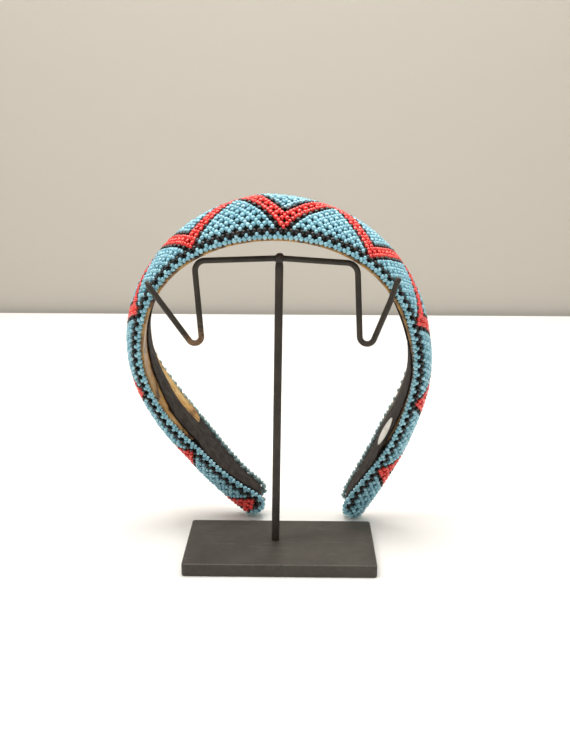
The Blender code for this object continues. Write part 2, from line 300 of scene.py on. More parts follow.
# distance from the nearer tip, width between the rims, height of the crest
WIDTH, HEIGHT = 1, 2
SECTION_ROWS = np.array((
    (0, 12, 13.5), (4, 13, 13.8), (18, 16, 14), (34, 22, 13),
    (50, 27.5, 11.8), (65, 31.5, 10.8), (81, 35, 10), (97, 37, 9),
    (124, 38, 7), (159, 38, 6.8), (189, 38.5, 9.3), (222, 39, 12.4),
))
BAND_LEAN = math.radians(16.0)
BAND_TURN = math.radians(-3.0)
# The last value is the height at which the lower tip just touches the table.
BAND_ORIGIN = np.array((-1.8, 46.5, 0.178))
BEAD = 2.1
EDGE_DROP = 1.0
SECTION_POWER = 2.2
TIP_ROUND_WIDTH, TIP_LEAST_WIDTH = 5.0, 0.5
TIP_ROUND_HEIGHT, TIP_LEAST_HEIGHT = 4.0, 0.75
TIP_LIFT, TIP_LIFT_REACH = 9.0, 10.0
HIGHEST_SIDE = 0.6
TWIST_WIDTH = 38.0
# How the sewn band sits off that even form: distance along the rim, then mm outward at the
# rims and at the crest, mm that the front and the back edge rows slip round the rim, and mm
# that the back rim is turned further outward than the front one.
RIMS_OUT, CREST_OUT, FRONT_SLIP, BACK_SLIP, TWIST = range(1, 6)
SEAT_ROWS = np.array((
    (0, -0.6, 0, 1.9, 2.2, 0), (10, -0.4, 0.3, 2.1, 2.6, 0), (18, 0.5, 0.8, 1.8, 2.9, 0),
    (28, 1.1, 1, 1.6, 2.9, 0), (40, 0.7, 1, 1.8, 2.7, 0), (52, -0.1, 0.1, 2.1, 2.5, 0),
    (66, -0.2, 0, 2, 2.2, 0), (84, 0, -0.6, 1.9, 1.9, 1.4), (96, 0, -0.7, 1.8, 1, 2.9),
    (108, 0, -0.7, 1.8, 0.2, 3.7), (122, 0, -0.7, 1.8, -0.3, 3.5), (140, 0, 0, 1.8, 0, 1.8),
    (158, 0, 0, 1, 0.3, 0.4), (176, 0, 0, 0.3, 0.35, 0), (200, 0, 0, 0.3, 0.35, 0),
    (250, 0, 0, 0.3, 0.35, 0), (274, 0, 0, -0.1, 0.4, 0), (290, 0, 0.1, 0.1, 0.3, 0),
    (303, 0, 0.4, 0.2, 0.1, 0), (314, -0.1, 1, 0.6, -0.1, -0.5), (328, 0.5, 1.2, 1.3, -0.2, -2.2),
    (344, 1.9, 1.1, 2.2, -0.3, -1.2), (358, 2, 0.8, 2.3, 0.5, 0.8), (376, 1.1, 0.2, 1.3, 1.6, 0.7),
    (392, 0, 0, 0.5, 2.4, 0), (404, 0.6, 0.2, 1.1, 2.6, 0), (418, 1.4, 0.4, 1.7, 2.6, 0),
    (430, 1.9, 0.3, 2.1, 2.6, 0), (443, 1.7, 0, 2.1, 2.4, 0),
))


def natural_spline(knots, values, places):
    """Cubic curve through the values at the knots, straight at both ends, read at places."""
    gaps = np.diff(knots)
    rises = np.diff(values) / gaps
    count = len(knots)
    inner = np.arange(1, count - 1)
    system = np.eye(count)
    system[inner, inner - 1] = gaps[:-1]
    system[inner, inner] = 2 * (gaps[:-1] + gaps[1:])
    system[inner, inner + 1] = gaps[1:]
    pull = np.zeros(count)
    pull[inner] = 6 * np.diff(rises)
    bend = np.linalg.solve(system, pull)
    places = np.clip(places, knots[0], knots[-1])
    span = np.clip(np.searchsorted(knots, places) - 1, 0, count - 2)
    after = places - knots[span]
    before = knots[span + 1] - places
    gap = gaps[span]
    curve = (bend[span] * before ** 3 + bend[span + 1] * after ** 3) / (6 * gap)
    start = (values[span] / gap - bend[span] * gap / 6) * before
    finish = (values[span + 1] / gap - bend[span + 1] * gap / 6) * after
    return curve + start + finish


corners = np.array(RIM_ROUTE)
chords = np.concatenate([[0], np.cumsum(np.hypot(*np.diff(corners, axis=0).T))])
fine = np.linspace(0, chords[-1], 1200)
rim_x = natural_spline(chords, corners[:, 0], fine)
rim_z = natural_spline(chords, corners[:, 1], fine)
rim_run = np.concatenate([[0], np.cumsum(np.hypot(np.diff(rim_x), np.diff(rim_z)))])
rim_dx = np.gradient(rim_x, rim_run)
rim_dz = np.gradient(rim_z, rim_run)
BAND_LENGTH = rim_run[-1]
print("band is", round(float(BAND_LENGTH), 1), "mm long along its rim")


# %% From along, across and out to a place in the room
def lean_and_turn(local, lean, turn):
    """Turn points about X by the lean, so that the top comes forward, then about Z."""
    x, y, z = local[..., 0], local[..., 1], local[..., 2]
    leaned_y = y * math.cos(lean) - z * math.sin(lean)
    leaned_z = y * math.sin(lean) + z * math.cos(lean)
    turned_x = x * math.cos(turn) - leaned_y * math.sin(turn)
    turned_y = x * math.sin(turn) + leaned_y * math.cos(turn)
    return np.stack([turned_x, turned_y, leaned_z], axis=-1)


def to_room(local):
    """From the band's own upright place to where it leans behind the plate, in metres."""
    return (lean_and_turn(local, BAND_LEAN, BAND_TURN) + BAND_ORIGIN) * MM


def band_place(along, across, outward):
    """Rim point at a distance along, moved across the band and out along the rim's normal."""
    along, across, outward = np.broadcast_arrays(along, across, outward)
    outward = outward + np.interp(along, SEAT_ROWS[:, 0], SEAT_ROWS[:, TWIST]) * across / TWIST_WIDTH
    x = np.interp(along, rim_run, rim_x)
    z = np.interp(along, rim_run, rim_z)
    dx = np.interp(along, rim_run, rim_dx)
    dz = np.interp(along, rim_run, rim_dz)
    return to_room(np.stack([x - dz * outward, across, z + dx * outward], axis=-1))


def from_tip(along):
    """Distance along the rim from the nearer tip."""
    return np.minimum(along, BAND_LENGTH - along)


def section(along, column):
    """The WIDTH or HEIGHT of the padding at a distance along the rim."""
    return natural_spline(SECTION_ROWS[:, 0], SECTION_ROWS[:, column], from_tip(along))


def seat(along, column):
    """One column of SEAT_ROWS at a distance along the rim."""
    return natural_spline(SEAT_ROWS[:, 0], SEAT_ROWS[:, column], along)


def tip_factor(distance, reach):
    """Quarter ellipse from 0 at a tip to 1 past the reach: sqrt(1 - (1 - d / reach)^2)."""
    left = np.clip(distance / reach, 0.0, 1.0)
    return np.sqrt(1.0 - (1.0 - left) ** 2)


def dome(along, angle, inset, floor=-EDGE_DROP):
    """Point of the padded form, shrunk evenly by inset.

    A section is half a superellipse over the angle: its half width times cos^(2/p) across
    and its height times sin^(2/p) outward, over a flat side that lifts near the tips.
    """
    along, angle = np.broadcast_arrays(np.asarray(along, float), angle)
    width = section(along, WIDTH)
    bulge = section(along, HEIGHT)
    distance = from_tip(along) - inset
    spread = TIP_LEAST_WIDTH + (1 - TIP_LEAST_WIDTH) * tip_factor(distance, TIP_ROUND_WIDTH)
    swell = TIP_LEAST_HEIGHT + (1 - TIP_LEAST_HEIGHT) * tip_factor(distance, TIP_ROUND_HEIGHT)
    half = (width / 2 + EDGE_DROP) * spread - inset
    top = (bulge + EDGE_DROP) * swell - inset - EDGE_DROP + seat(along, CREST_OUT)
    lift = TIP_LIFT * (1 - tip_factor(distance, TIP_LIFT_REACH))
    floor = floor + seat(along, RIMS_OUT)
    raised = np.minimum(floor + lift, top * HIGHEST_SIDE)
    share = np.maximum(raised - floor, 0.0) / (top - floor)
    half = half * (1 - share ** SECTION_POWER) ** (1 / SECTION_POWER)
    side = -np.cos(angle)
    across = np.sign(side) * np.abs(side) ** (2 / SECTION_POWER) * half
    rise = np.sin(angle) ** (2 / SECTION_POWER)
    return band_place(along, width / 2 + across, raised + rise * (top - raised))


# %% [markdown]
# ## Padding in black cloth
#
# Between the beads the eye sees black cloth, so the beads need a dark body under them.
# It is the same surface a bead's thickness further in, closed along its flat side and at
# its tips.  A fine weave and a little fuzz (sheen) keep it from looking like plastic.

# %% Cloth
def woven_cloth(name, dark, light, threads, sheen):
    """Plain weave on Object coordinates: two crossed wave patterns drive colour and bump."""
    material, tree, shader = material_nodes(name, dark, 0.88, Sheen_Weight=sheen, Sheen_Roughness=0.5,
                                            Specular_IOR_Level=0.25)
    place = object_place(tree)
    warp, weft = (add_node(tree, "ShaderNodeTexWave", {"bands_direction": axis}, Vector=place, Scale=threads,
                           Distortion=0.6).outputs["Fac"] for axis in "XZ")
    weave = maths(tree, "MULTIPLY", maths(tree, "MAXIMUM", warp, weft), noise(tree, place, 140.0, 5.0))
    paint(tree, shader, colour_ramp(tree, weave, [(0.1, *dark), (0.7, *light)]), weave, 0.6, 0.0002)
    return material


black_cloth = woven_cloth("black_cloth", (0.010, 0.009, 0.009), (0.045, 0.040, 0.038), 420.0, 0.25)


# mm that a bead sinks into the cloth, and the height of the padding's flat side
BEAD_SINK, PADDING_FLOOR = 0.35, -0.75


def make_padding():
    """Closed tube of sections: the dome at inset and its flat side."""
    inset = BEAD - BEAD_SINK
    along = inset + (BAND_LENGTH - 2 * inset) * 0.5 * (1 - np.cos(np.linspace(0, math.pi, 240)))
    along = np.unique(np.concatenate([along, np.linspace(inset, BAND_LENGTH - inset, 160)]))
    angle = np.linspace(0.0, math.pi, 36)
    roof = dome(along[:, None], angle[None, :], inset, PADDING_FLOOR)
    share = np.linspace(0, 1, 12)[1:-1]
    floor = roof[:, -1:, :] + (roof[:, :1, :] - roof[:, -1:, :]) * share[None, :, None]
    return closed_tube("padding", np.concatenate([roof, floor], axis=1), black_cloth)


padding = make_padding()
print("padding has", len(padding.data.polygons), "faces")


# %% [markdown]
# ## The bead chart
#
# The net is the simple kind with one bead on each side of its diamonds and one at each
# corner.  A corner bead sits where a + b is even, and a side bead half-way between two
# corners; a counts half diamonds along the band and b counts rows from the nearer edge.
#
# The pattern is the traditional zigzag, and it is charted by rule.  The two rows at the
# edge are turquoise groups of three.  Above them runs a zigzag of black side beads.
# Then b - |a - valley| numbers the slanting lines of the chevron: 1 and 5 are black,
# 2 to 4 are red, and the rest is turquoise.  A valley comes every 18 half
# diamonds.  Counted from the back edge, the same rule starts half a period later, so the
# red band swings from one edge to the other.

# %% Chart and colours
DIAMOND = 4.93
PERIOD = 18
VALLEY_ALONG = 232.3
MOST_ROWS = 15
LEAST_ROW = 2.5


def bead_colour(a, b, from_back):
    """0 turquoise, 1 black, 2 red, 3 turquoise edging, for a bead at column a, row b."""
    swing = np.abs((a + PERIOD / 2) % PERIOD - PERIOD / 2)
    away = np.where(from_back, PERIOD / 2 - swing, swing)
    line = b - away
    colour = np.where((line > 1.9) & (line < 4.1), 2, 0)
    colour = np.where((np.abs(line - 1) < 0.1) | (np.abs(line - 5) < 0.1), 1, colour)
    colour = np.where(np.abs(b - 1.5) < 0.1, 1, colour)
    return np.where(b < 1.1, 3, colour)


# %% Columns and arcs
# mm by which the right leg's last column comes nearer, the column where that starts and over
# how many columns it grows; then the same for the third valley on the left: mm, column, reach
RIGHT_TIGHTER, RIGHT_START, RIGHT_REACH = 5.3, 2, 38
LEFT_LOWER, LEFT_COLUMN, LEFT_REACH = 1.9, -50, 14


def smooth(share):
    """Smooth step 3 t^2 - 2 t^3 of a share kept between 0 and 1."""
    share = np.clip(share, 0.0, 1.0)
    return share * share * (3 - 2 * share)


def bell(place, middle, reach):
    """exp(-((place - middle) / reach)^2), which is 1 at the middle."""
    return np.exp(-((place - middle) / reach) ** 2)


def column_along(a):
    """Distance along the rim of column a.

    The right leg was strung tighter, and the third valley on the left sits a little low.
    """
    along = VALLEY_ALONG + DIAMOND / 2 * a
    tighter = RIGHT_TIGHTER * smooth((a - RIGHT_START) / RIGHT_REACH)
    return along - tighter - LEFT_LOWER * bell(a, LEFT_COLUMN, LEFT_REACH)


def section_table(along, inset):
    """Arc length of the section at each station, over 181 angles."""
    angle = np.linspace(0, math.pi, 181)
    points = dome(along[:, None], angle[None, :], inset) / MM
    steps = np.linalg.norm(np.diff(points, axis=1), axis=2)
    return angle, np.concatenate([np.zeros((len(along), 1)), np.cumsum(steps, axis=1)], axis=1)


# %% The lattice
# mm kept free at each tip, the share of an even step that an edge row takes, and over how
# many rows the slip fades
TIP_MARGIN, EDGE_SHARE, SLIP_ROWS = 1.2, 0.945, 4
# The back edge has one more row of corner beads, except in the last mm at each tip.
BACK_ROW_MARGIN = 5


def lattice():
    """Every bead's column a, row from its own edge, side of the seam, distance along,
    angle on the section, row from the front edge, and height of its row in mm.

    Rows keep an even step near both edges, and the middle rows share what is left.  A
    negative angle means that many mm past the rim, down the inner side.
    """
    a = np.arange(-190, 190) / 2
    along = column_along(a)
    inside = (along > TIP_MARGIN) & (along < BAND_LENGTH - TIP_MARGIN)
    a, along = a[inside], along[inside]
    pick = np.arange(len(a))
    angle, arcs = section_table(along, BEAD / 2)
    length = arcs[:, -1]
    rows = np.clip((np.floor(length / LEAST_ROW) - 1) // 2 * 2 + 1, 3, MOST_ROWS)
    edge_count = (rows - 3) / 2
    edge_row = EDGE_SHARE * length / rows
    middle_row = (length - 2 * edge_count * edge_row) / 3.0
    most = rows + np.where(from_tip(along) > BACK_ROW_MARGIN, 0.1, 0.0)
    on_column = np.abs(a - np.round(a)) < 0.1
    beads = []
    for b in np.arange(1, 2 * MOST_ROWS + 1) / 2:
        back = b > rows / 2
        count = np.where(back, rows - b, b)
        step = np.minimum(count, edge_count) * edge_row + np.maximum(count - edge_count, 0) * middle_row
        slip = np.where(back, seat(along, BACK_SLIP), seat(along, FRONT_SLIP))
        step = step - slip * np.clip((SLIP_ROWS + 1 - count) / SLIP_ROWS, 0, 1)
        run = np.where(back, length - step, step)
        half_turns = np.round(a) + np.where(back, np.round(b - rows) + PERIOD // 2, round(b))
        corner = abs(b - round(b)) < 0.1
        keep = on_column & (half_turns % 2 < 0.5) if corner else ~on_column
        place = (arcs < run[:, None]).sum(1).clip(1, arcs.shape[1] - 1)
        before, after = arcs[pick, place - 1], arcs[pick, place]
        share = (run - before) / np.maximum(after - before, 1e-9)
        turn = angle[place - 1] + share * (angle[place] - angle[place - 1])
        turn = np.where(step < 0, step, turn)
        height = np.where(count < edge_count, edge_row, middle_row)
        columns = (a, count, back, along, turn, np.full(len(a), b), height)
        beads.append(np.stack(columns, axis=1)[keep & (b < most)])
    return np.concatenate(beads)


beads = lattice()
colours = bead_colour(beads[:, 0], beads[:, 1], beads[:, 2] > 0.5)
# The left tip ends in black above its edge row, and both tips in a turquoise hem.
LEFT_BLACK, TIP_HEM = 5.8, 5.0
from_end = from_tip(beads[:, 3])
colours = np.where((beads[:, 3] < LEFT_BLACK) & (beads[:, 1] > 1.2), 1, colours)
colours = np.where(from_end < TIP_HEM, 3, colours)
print(len(beads), "beads in the net, by colour", np.bincount(colours.astype(int)))


# %% [markdown]
# ## Seed beads
#
# A seed bead is a short rounded tube of glass, about 2 mm across and 1.5 mm long, with
# a hole for the thread.  One bead is a closed profile of six points turned in eight
# steps.  All beads of a colour are one mesh: the array of places, tilts and sizes is
# multiplied with the one bead at once.  Each bead also carries a tone, a random
# number that its glass uses to be a little lighter, darker or greener than the next.

# %% Glass
# grey-green of painted shade on the back edge beads of the legs
EDGE_SHADE_GLASS = (0.30, 0.40, 0.38, 1.0)


def glass(name, dark, middle, light, roughness, coat):
    """Opaque glass whose colour follows the bead's tone and greys where painted shade is stored."""
    material, tree, shader = material_nodes(name, middle, roughness, Coat_Weight=coat, Coat_Roughness=0.08,
                                            IOR=1.52)
    cloud = noise(tree, object_place(tree), 900.0, 3.0)
    tone = maths(tree, "MULTIPLY_ADD", cloud, 0.35, attribute(tree, "tone"))
    colour = colour_ramp(tree, tone, [(0.12, *dark), (0.6, *middle), (1.0, *light)])
    paint(tree, shader, mix(tree, attribute(tree, "painted_edge_shade"), colour, EDGE_SHADE_GLASS), cloud, 0.15, 0.00008)
    return material


turquoise_glass = glass("turquoise_glass", (0.18, 0.42, 0.51), (0.26, 0.56, 0.67), (0.40, 0.72, 0.82),
                        0.3, 0.4)
black_glass = glass("black_glass", (0.004, 0.0035, 0.0035), (0.008, 0.007, 0.006), (0.022, 0.016, 0.014),
                    0.3, 0.15)
red_glass = glass("red_glass", (0.62, 0.018, 0.014), (0.92, 0.036, 0.026), (1.0, 0.09, 0.06), 0.28, 0.6)


# %% One bead
# distance from the thread and place along it, in mm, once round the wall of the tube
BEAD_PROFILE = np.array((
    (0.45, -0.70), (0.92, -0.86), (1.20, -0.43), (1.20, 0.43), (0.92, 0.86), (0.45, 0.70)))


def one_bead(around=8):
    """Closed ring surface: the profile's radius turned about Z, its height kept."""
    turn = np.arange(around) / around * 2 * math.pi
    x = BEAD_PROFILE[:, 0] * np.cos(turn)[:, None]
    y = BEAD_PROFILE[:, 0] * np.sin(turn)[:, None]
    z = np.broadcast_to(BEAD_PROFILE[:, 1], x.shape)
    faces = np.array(grid_faces(around, len(BEAD_PROFILE), wrap_rows=True, wrap_columns=True))
    return np.stack([x, y, z], axis=-1).reshape(-1, 3), faces


BEAD_POINTS, BEAD_FACES = one_bead()


def unit(vectors):
    """Vectors divided by their lengths."""
    return vectors / np.maximum(np.linalg.norm(vectors, axis=-1, keepdims=True), 1e-12)


# %% Where each bead sits
# radius of the quarter circle past the rim, and the mm of a diamond's side that its corner
# beads take; a side bead may fill what is left within these limits
RIM_RADIUS = 1.5
CORNER_ROOM, SIDE_BEAD = 2.1, 1.68
LEAST_STRETCH, MOST_STRETCH = 0.9, 1.2


def bead_frames(rows):
    """Centre, thread direction, outward direction and length factor of each bead.

    Corner beads lie along the band.  Side beads lie along their side of the diamond, which
    is half a diamond east and one row north or south, and stretch a little to fill it.
    Past the rim a bead follows a quarter circle of RIM_RADIUS and then the inner side.
    """
    along, angle, height = rows[:, 3], rows[:, 4], rows[:, 6]
    towards_middle = np.where(rows[:, 2] > 0.5, -1.0, 1.0)
    past = np.maximum(-angle, 0.0)
    angle = np.where(past > 0, np.where(rows[:, 2] > 0.5, math.pi, 0.0), angle)
    turned = np.minimum(past / RIM_RADIUS, math.pi / 2)
    inward = RIM_RADIUS * (1 - np.cos(turned)) + past - turned * RIM_RADIUS
    centre = dome(along, angle, BEAD / 2) / MM
    centre = centre + (band_place(along, inward * towards_middle, -RIM_RADIUS * np.sin(turned))
                       - band_place(along, 0.0, 0.0)) / MM
    east = dome(along + 0.5, angle, BEAD / 2) / MM - dome(along - 0.5, angle, BEAD / 2) / MM
    north = unit(dome(along, np.minimum(angle + 0.02, math.pi), BEAD / 2) / MM
                 - dome(along, np.maximum(angle - 0.02, 0.0), BEAD / 2) / MM)
    outward = unit(np.cross(east, north))
    corner = np.abs(rows[:, 1] - np.round(rows[:, 1])) < 0.1
    rising = np.where((np.floor(rows[:, 0]) + np.floor(rows[:, 5])) % 2 < 0.5, 1.0, -1.0)
    side = east * DIAMOND / 2 + (rising * height)[:, None] * north
    room = np.linalg.norm(side, axis=1) - CORNER_ROOM
    longer = np.where(corner, 1.0, np.clip(room / SIDE_BEAD, LEAST_STRETCH, MOST_STRETCH))
    thread = np.where(corner[:, None], unit(east), unit(side))
    return centre, thread, outward, longer


# %% Bead pieces
TILT, SIZE_SPREAD, LENGTH_SPREAD, PLACE_SPREAD = 0.10, 0.03, 0.05, 0.05


def bead_mesh(name, centre, thread, outward, longer, painted_edge_shade, material):
    """One object with a copy of the bead at each frame, slightly tilted, moved and sized."""
    count = len(centre)
    tilt = rng.normal(0.0, TILT, (count, 3))
    axis = unit(thread + tilt)
    side = unit(np.cross(outward, axis))
    lift = np.cross(axis, side)
    size = 1 + rng.normal(0.0, SIZE_SPREAD, (count, 1, 1))
    stretch = np.stack([1 + rng.normal(0, 0.02, count), 1 + rng.normal(0, 0.02, count),
                        longer * (1 + rng.normal(0, LENGTH_SPREAD, count))], axis=1)[:, None, :]
    shape = BEAD_POINTS[None, :, :] * size * stretch
    moved = (centre + rng.normal(0.0, PLACE_SPREAD, (count, 3)))[:, None, :]
    points = moved + (shape[..., :1] * side[:, None, :] + shape[..., 1:2] * lift[:, None, :]
                      + shape[..., 2:] * axis[:, None, :])
    faces = BEAD_FACES[None, :, :] + (np.arange(count) * len(BEAD_POINTS))[:, None, None]
    thing = mesh_object(name, points * MM, faces.reshape(-1, 4).tolist(), material)
    store(thing, "tone", np.repeat(rng.beta(2.2, 2.2, count) * 0.9, len(BEAD_POINTS)))
    # the stored share of painted shade that greys the glass
    store(thing, "painted_edge_shade", np.repeat(painted_edge_shade, len(BEAD_POINTS)))
    print(name, count, "beads,", len(thing.data.polygons) * 2, "triangles")
    return thing


# mm across from the middle and mm above the rims of the beads that close a tip
END_ACROSS = np.array((-1.9, 0.1, 2.0, -1.1, 1.2, -1.6, 1.5))
END_LEVEL = np.array((4.2, 3.9, 4.3, 6.0, 5.9, 7.9, 8.0))


def end_beads(end, away):
    """A few beads that close the small end face of a tip, threaded across it."""
    across = section(np.full(len(END_ACROSS), end), WIDTH) / 2 + END_ACROSS
    centre = band_place(end, across, END_LEVEL) / MM
    thread = band_place(end, across + 1.0, END_LEVEL) / MM - centre
    outward = (band_place(end + away, across, END_LEVEL) - band_place(end, across, END_LEVEL)) / MM
    return centre, unit(thread), unit(outward), np.ones(len(END_ACROSS))


# how grey painted shade makes the back edge, and the distances from a tip between which that painted shade
# fades out
BACK_EDGE_SHADE, EDGE_SHADE_END, EDGE_SHADE_REACH = 0.75, 130.0, 30.0
both_tips = zip(end_beads(1.0, -1.0), end_beads(BAND_LENGTH - 1.0, 1.0))
centre, thread, outward, longer = (
    np.concatenate([net, *ends]) for net, ends in zip(bead_frames(beads), both_tips))
extra = len(centre) - len(beads)
colours = np.concatenate([colours, np.full(extra, 3)])
on_back_edge = (beads[:, 1] < 1.1) & (beads[:, 2] > 0.5)
# painted shade: the back edge beads of both legs grey, up to 130 mm from each tip
grey = BACK_EDGE_SHADE * on_back_edge * smooth((EDGE_SHADE_END - from_end) / EDGE_SHADE_REACH)
painted_edge_shade = np.concatenate([grey, np.zeros(extra)])
bead_pieces = []
for kind, (name, material) in enumerate((
        ("turquoise_field_beads", turquoise_glass), ("black_line_beads", black_glass),
        ("red_chevron_beads", red_glass), ("turquoise_edge_beads", turquoise_glass))):
    chosen = colours == kind
    bead_pieces.append(bead_mesh(name, centre[chosen], thread[chosen], outward[chosen], longer[chosen],
                                 painted_edge_shade[chosen], material))


# %% [markdown]
# ## Hoop
#
# The springy hoop is what holds the band open.  It is a strip of clear brown plastic
# like imitation tortoiseshell, about 1.4 mm thick with rounded edges.  It shows as two
# narrow strips on either side of the ribbon.  It is a rounded rectangle carried along
# the rim, a little smaller at both ends so that they close softly.

# %% Strips along the rim
def four_corners(count):
    """Angles of four corner arcs in turn, and on which side and at which level each lies."""
    quarter = np.linspace(0, math.pi / 2, count)
    turn = np.concatenate([quarter + math.pi / 2 * step for step in range(4)])
    return turn, np.repeat((1.0, -1.0, -1.0, 1.0), count), np.repeat((1.0, 1.0, -1.0, -1.0), count)


def rounded_strip(along, half, outer, inner, corner=0.45, shift=0.0):
    """Rings of a rounded rectangle across the band, and where each point lies on the strip.

    The corner circles give (centre + radius * (cos, sin)); half, outer and inner may
    change along the rim.
    """
    turn, side, level = four_corners(4)
    radius = np.minimum(corner, np.minimum(half, (outer - inner) / 2) * 0.95)[:, None]
    middle = (section(along, WIDTH) / 2 + shift)[:, None]
    across = middle + side * (half[:, None] - radius) + radius * np.cos(turn)
    centre = (outer + inner)[:, None] / 2 + seat(along, RIMS_OUT)[:, None]
    deep = (outer - inner)[:, None] / 2 - radius
    outward = centre + level * deep + radius * np.sin(turn)
    places = {"across": (across - middle) * MM, "along": along[:, None] * MM}
    return band_place(along[:, None], across, outward), places


def stations(first, last, count, reach, extra):
    """Even distances from first to last, with extra ones over the reach at both ends."""
    near = np.linspace(0, reach, extra)
    return np.unique(np.concatenate([np.linspace(first, last, count), first + near, last - near]))


# %% Tortoiseshell
# metres along the rim between which painted shade darkens the back strip, and then the front one too
BACK_SHADE_SPAN, FRONT_SHADE_SPAN = (0.27, 0.31), (0.318, 0.336)
# how far the painted shade goes on the front strip, from 0 to 1, and the share of colour left where it is
# deepest
FRONT_SHADE_DEPTH, DEEPEST_SHADE = 0.8, 0.12


def tortoiseshell():
    """Clear brown plastic: clouds of cream, gold, tan and brown, crossed by dark veins.

    A noise on the along and across attributes picks the colour.  A vein runs where a
    second noise is close to one half.  The back strip is more golden than the front one.
    On the right leg painted shade darkens the back strip, and further down the front one too.
    """
    material, tree, shader = material_nodes("tortoiseshell_plastic", (0.4, 0.22, 0.08), 0.4, Coat_Weight=0.08,
                                            Specular_IOR_Level=0.3, Coat_Roughness=0.15)
    along = attribute(tree, "along")
    across = attribute(tree, "across")
    place = add_node(tree, "ShaderNodeCombineXYZ", X=along, Y=across).outputs[0]
    patch = noise(tree, place, 120.0, 2.0, Roughness=0.45, Distortion=0.3)
    vein = noise(tree, place, 70.0, 2.0, Roughness=0.5, Distortion=0.4)
    front = colour_ramp(tree, patch, [
        (0.36, 0.10, 0.042, 0.015), (0.42, 0.27, 0.140, 0.048), (0.49, 0.34, 0.200, 0.075),
        (0.54, 0.50, 0.250, 0.050), (0.58, 0.44, 0.245, 0.080), (0.65, 0.49, 0.31, 0.13)])
    back = colour_ramp(tree, patch, [
        (0.33, 0.20, 0.09, 0.025), (0.42, 0.44, 0.235, 0.060), (0.56, 0.56, 0.32, 0.085),
        (0.68, 0.64, 0.44, 0.18)])
    behind = map_range(tree, across, -0.001, 0.001)
    off = maths(tree, "ABSOLUTE", maths(tree, "SUBTRACT", vein, 0.5))
    line = colour_ramp(tree, off, [(0.0, 0.22, 0.17, 0.13), (0.012, 0.75, 0.70, 0.66), (0.03, 1, 1, 1)])
    veined = mix(tree, 1.0, mix(tree, behind, front, back), line, "MULTIPLY")
    # painted shade: the right leg's strips darken with distance along the rim, the back one first
    back_strip_shade = maths(tree, "MULTIPLY", map_range(tree, along, *BACK_SHADE_SPAN), behind)
    dark = maths(tree, "MAXIMUM", back_strip_shade, map_range(tree, along, *FRONT_SHADE_SPAN, 0.0, FRONT_SHADE_DEPTH))
    tint = add_node(tree, "ShaderNodeVectorMath", {"operation": "SCALE"}, i0=veined)
    tree.links.new(map_range(tree, dark, 0.0, 1.0, 1.0, DEEPEST_SHADE), tint.inputs["Scale"])
    paint(tree, shader, tint.outputs[0], patch, 0.1, 0.0002)
    return material


# %% Hoop piece
HOOP_LEFT_END = 58.0
HOOP_RIGHT_END = 50.0
HOOP_OUTER, HOOP_INNER = -1.3, -2.7
HOOP_INSET = 1.45
HOOP_END_NARROWER, HOOP_END_REACH = 4.0, 7.0
# distance along, reach and mm by which the hoop stands in from the padding at each shoulder
SHOULDERS = ((136.0, 26.0, 1.3), (308.0, 22.0, 0.1))


def stands_off(along):
    """How far the hoop stands in from the padding, in mm."""
    return sum(inward * bell(along, middle, reach) for middle, reach, inward in SHOULDERS)


def make_hoop():
    """Rounded strip from one end to the other, its corners rounded over the last 7 mm."""
    last = BAND_LENGTH - HOOP_RIGHT_END
    along = stations(HOOP_LEFT_END, last, 200, 4, 9)
    reach = np.minimum(along - HOOP_LEFT_END, last - along)
    half = section(along, WIDTH) / 2 - HOOP_INSET
    half = half - HOOP_END_NARROWER + HOOP_END_NARROWER * tip_factor(reach, HOOP_END_REACH)
    inner = HOOP_INNER - stands_off(along)
    rings, places = rounded_strip(along, half, np.full_like(along, HOOP_OUTER), inner)
    return closed_tube("springy_hoop", rings, tortoiseshell(), **places)


hoop = make_hoop()
print("hoop has", len(hoop.data.polygons), "faces")

# %% [markdown]
# ## Ribbon and label
#
# Past the ends of the hoop the inner side is faced with black cloth as far as the tips.
# A dark woven ribbon, 11 to 21 mm wide, is sewn over the hoop and on over both facings.
# It wanders: back on the left shoulder, forward on the right leg.  The weave runs with the
# ribbon, so its pattern reads how far along and how far across a point is, stored on the
# mesh.  A small oval label is sewn on near the right tip.  It stays blank.

# %% Ribbon cloth
RIBBON_THICK, RIBBON_THIN = 0.95, 0.3
RIBBON_INSET = 2.8
RIBBON_TIP_END = 10.5
RIBBON_RAMP = 9.0
# distance along, reach and mm by which the ribbon bulges inward at the right shoulder
RIBBON_BULGE = (308.0, 16.0, 0.45)
FACING_OUTER, FACING_INNER = -0.85, -2.0
# The facing narrows and moves towards the front over the last mm of each tip.
FACING_NARROWER, FACING_SHIFT, FACING_START, FACING_REACH = 0.8, -0.2, 30.0, 20.0
# mm that facing and ribbon rise outward at a tip, where that starts, and over how many mm
END_RISE, RISE_START, RISE_REACH = 1.6, 13.0, 6.0
# distance along the rim, how far the ribbon's middle lies behind the hoop's, its width
RIBBON_ROWS = np.array((
    (10, -0.5, 16), (40, -2.6, 16), (62, -3.6, 15.5), (76, -3.4, 15.5), (88, 0.2, 15.2),
    (101, 4.4, 15.2), (112, 6.4, 14.8), (124, 7.4, 14), (138, 7, 13.4), (158, 4.2, 11.5),
    (185, 0.2, 11.5), (245, 0, 11.5), (275, -1, 14.5), (300, -3, 19), (322, -3.4, 20),
    (345, -3.6, 21), (366, -3.4, 20.5), (390, -3.2, 19.5), (412, -1.5, 17.5), (432, 0, 17),
))


